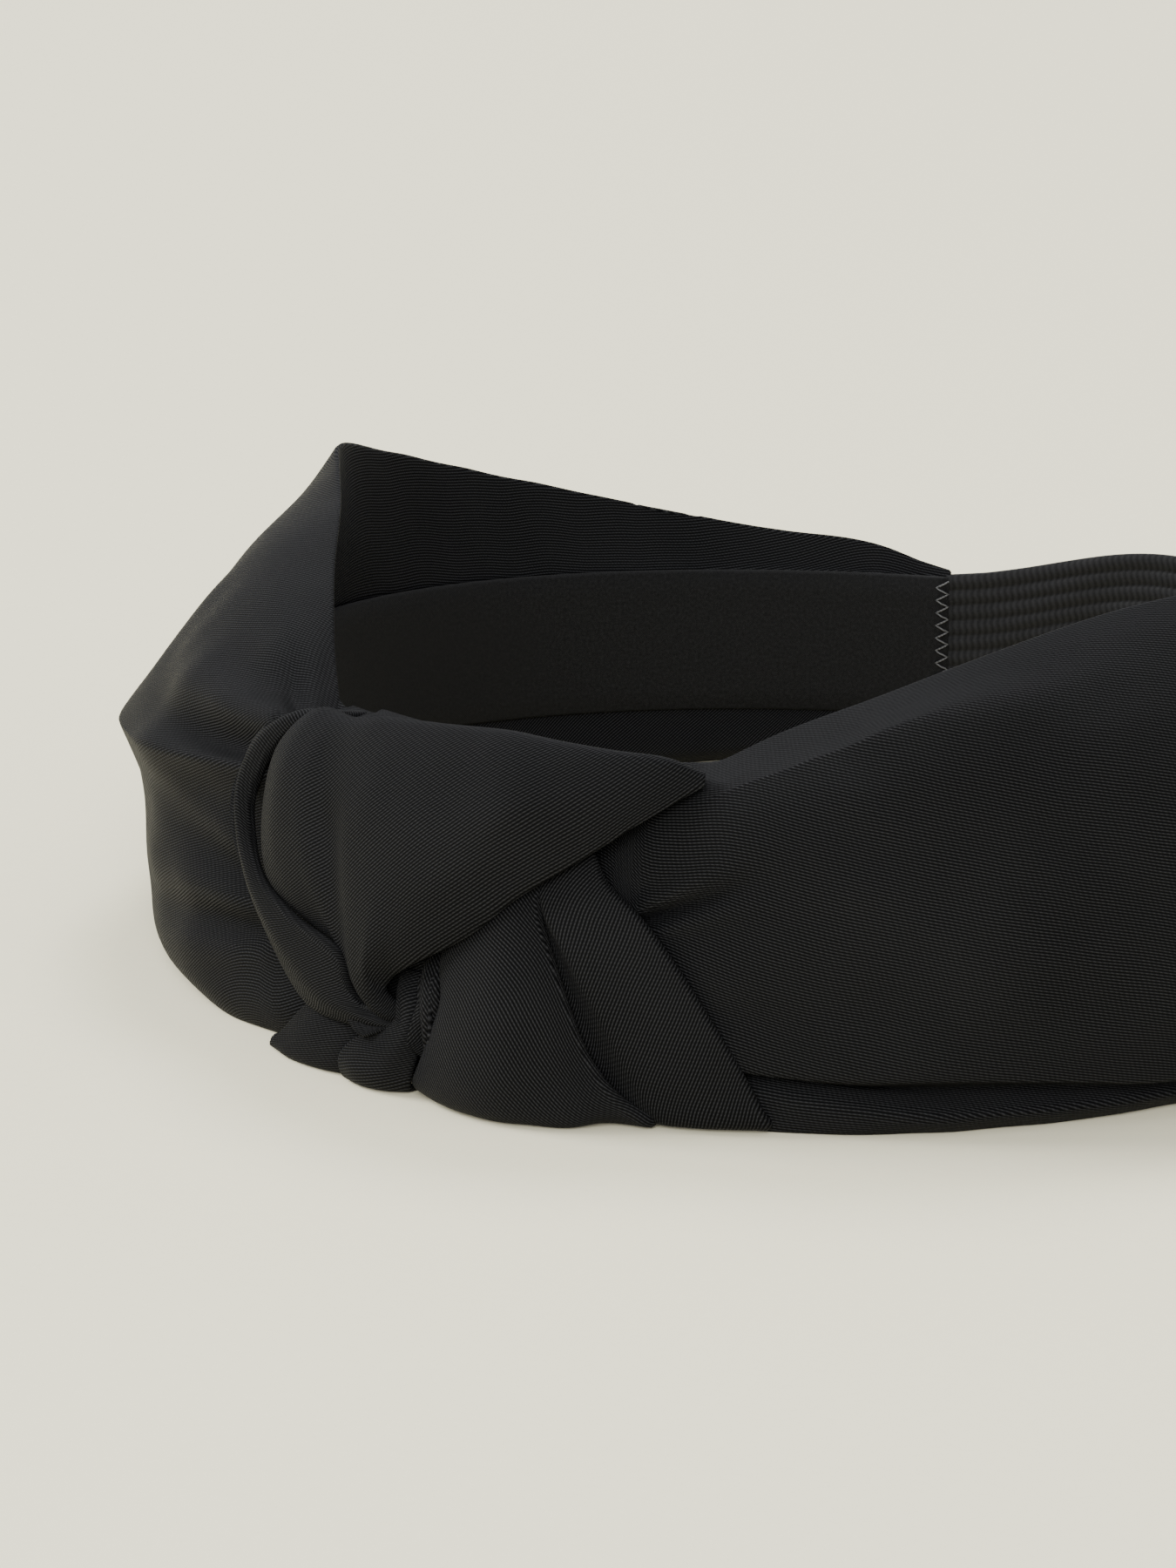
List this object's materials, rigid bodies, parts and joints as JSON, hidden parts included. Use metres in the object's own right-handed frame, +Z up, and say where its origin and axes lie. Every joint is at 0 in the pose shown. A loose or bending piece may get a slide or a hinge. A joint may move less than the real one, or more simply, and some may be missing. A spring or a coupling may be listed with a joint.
{
  "type": "knotted headband",
  "caption": "Wide knotted fabric headband on a springy hoop, with a matte lining and a ribbed elastic back.",
  "frame": {"origin": "on the surface that the band stands on, under the middle of its box", "axes": "+Z up, -Y towards the knot at the front, +X to the right for someone who faces the knot"},
  "size_m": [0.1618, 0.1596, 0.0513],
  "materials": {
    "satin": "satin twill, soft sheen",
    "lining": "matte woven",
    "elastic": "ribbed elastic webbing",
    "interlining": "stiff nonwoven",
    "foam": "thin open foam",
    "hoop": "moulded, satin",
    "thread": "twisted sewing thread"
  },
  "bodies": {
    "left_side": {"lining_strip": "lining", "comfort_pad": "foam", "hoop_core": "hoop", "elastic_strap": "elastic", "interlining_left": "interlining", "cover_left": "satin", "knot_upper_fold": "satin", "knot_left_fold": "satin", "knot_side_pleat": "satin", "knot_base_tuck": "satin", "knot_lower_fold": "satin", "knot_wrap_band": "satin", "seam_stitches_left": "thread", "knot_anchor_stitches": "thread"},
    "right_side": {"cover_right": "satin", "interlining_right": "interlining", "seam_stitches_right": "thread"}
  },
  "joints": [
    {"name": "band_flex", "type": "hinge", "parent": "left_side", "child": "right_side", "pos_m": [0, -0.0624, 0.025], "axis": [0, 0, -1], "range_deg": [0, 12], "stiffness_Nm_per_rad": 2.4, "deforming": ["hoop_core", "comfort_pad", "lining_strip", "elastic_strap"]}
  ]
}
